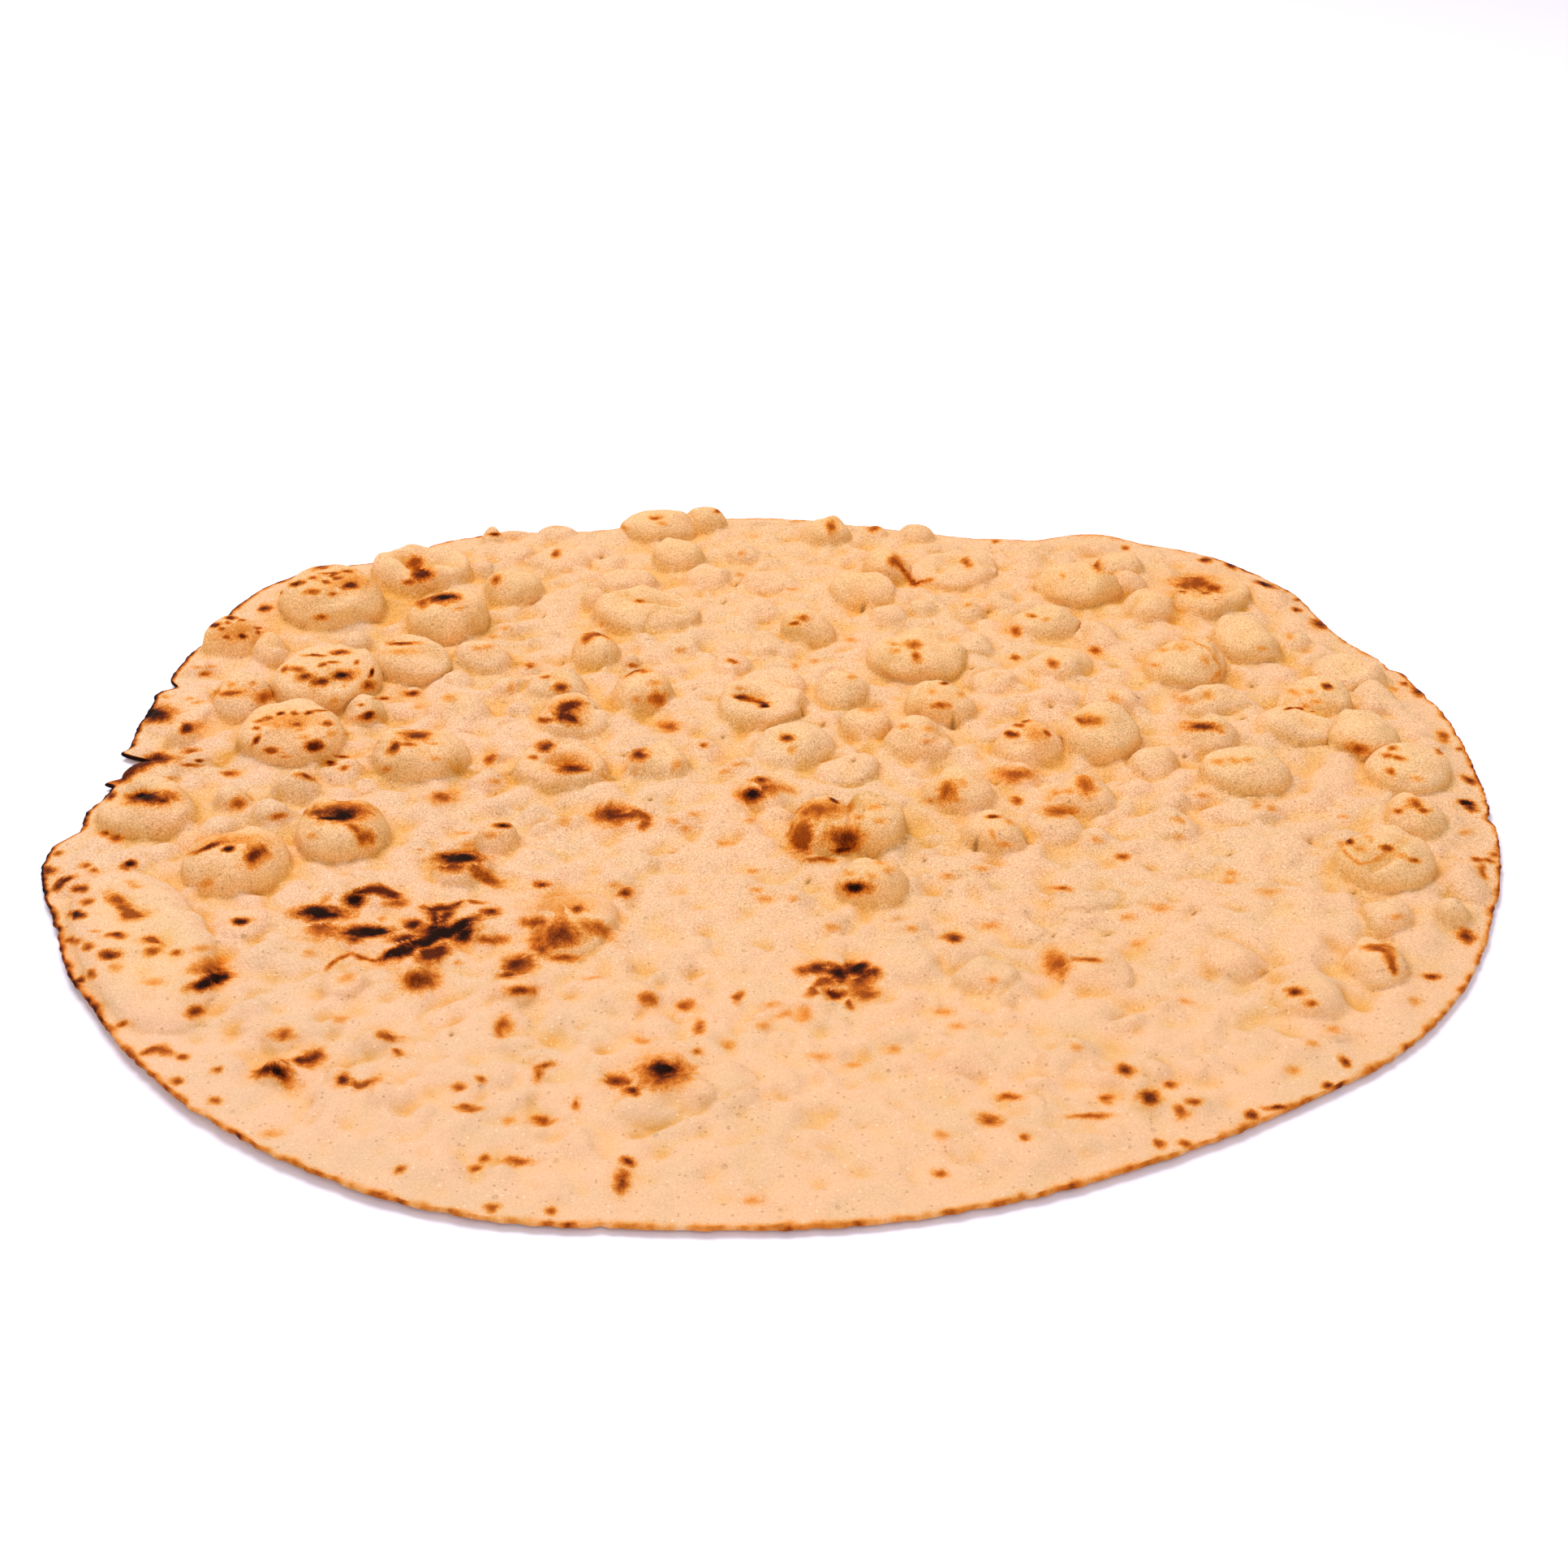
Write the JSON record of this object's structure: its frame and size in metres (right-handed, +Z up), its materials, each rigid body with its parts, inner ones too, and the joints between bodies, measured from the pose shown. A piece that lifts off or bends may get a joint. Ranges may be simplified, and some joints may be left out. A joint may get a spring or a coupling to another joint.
{
  "type": "bran flatbread",
  "caption": "Large thin round bran flatbread with a blistered, toasted top, a ragged browned rim and a flat underside.",
  "frame": {"origin": "middle of the bread's plan, on the plane it lies on", "axes": "+Z up out of the blistered face, +Y away from the eater (the far rim in the picture), +X to the right"},
  "size_m": [0.4786, 0.4702, 0.0193],
  "materials": {
    "crust": "dry baked dough, matt, toasted and charred in spots"
  },
  "bodies": {
    "root": {"bread": "crust"}
  },
  "joints": []
}
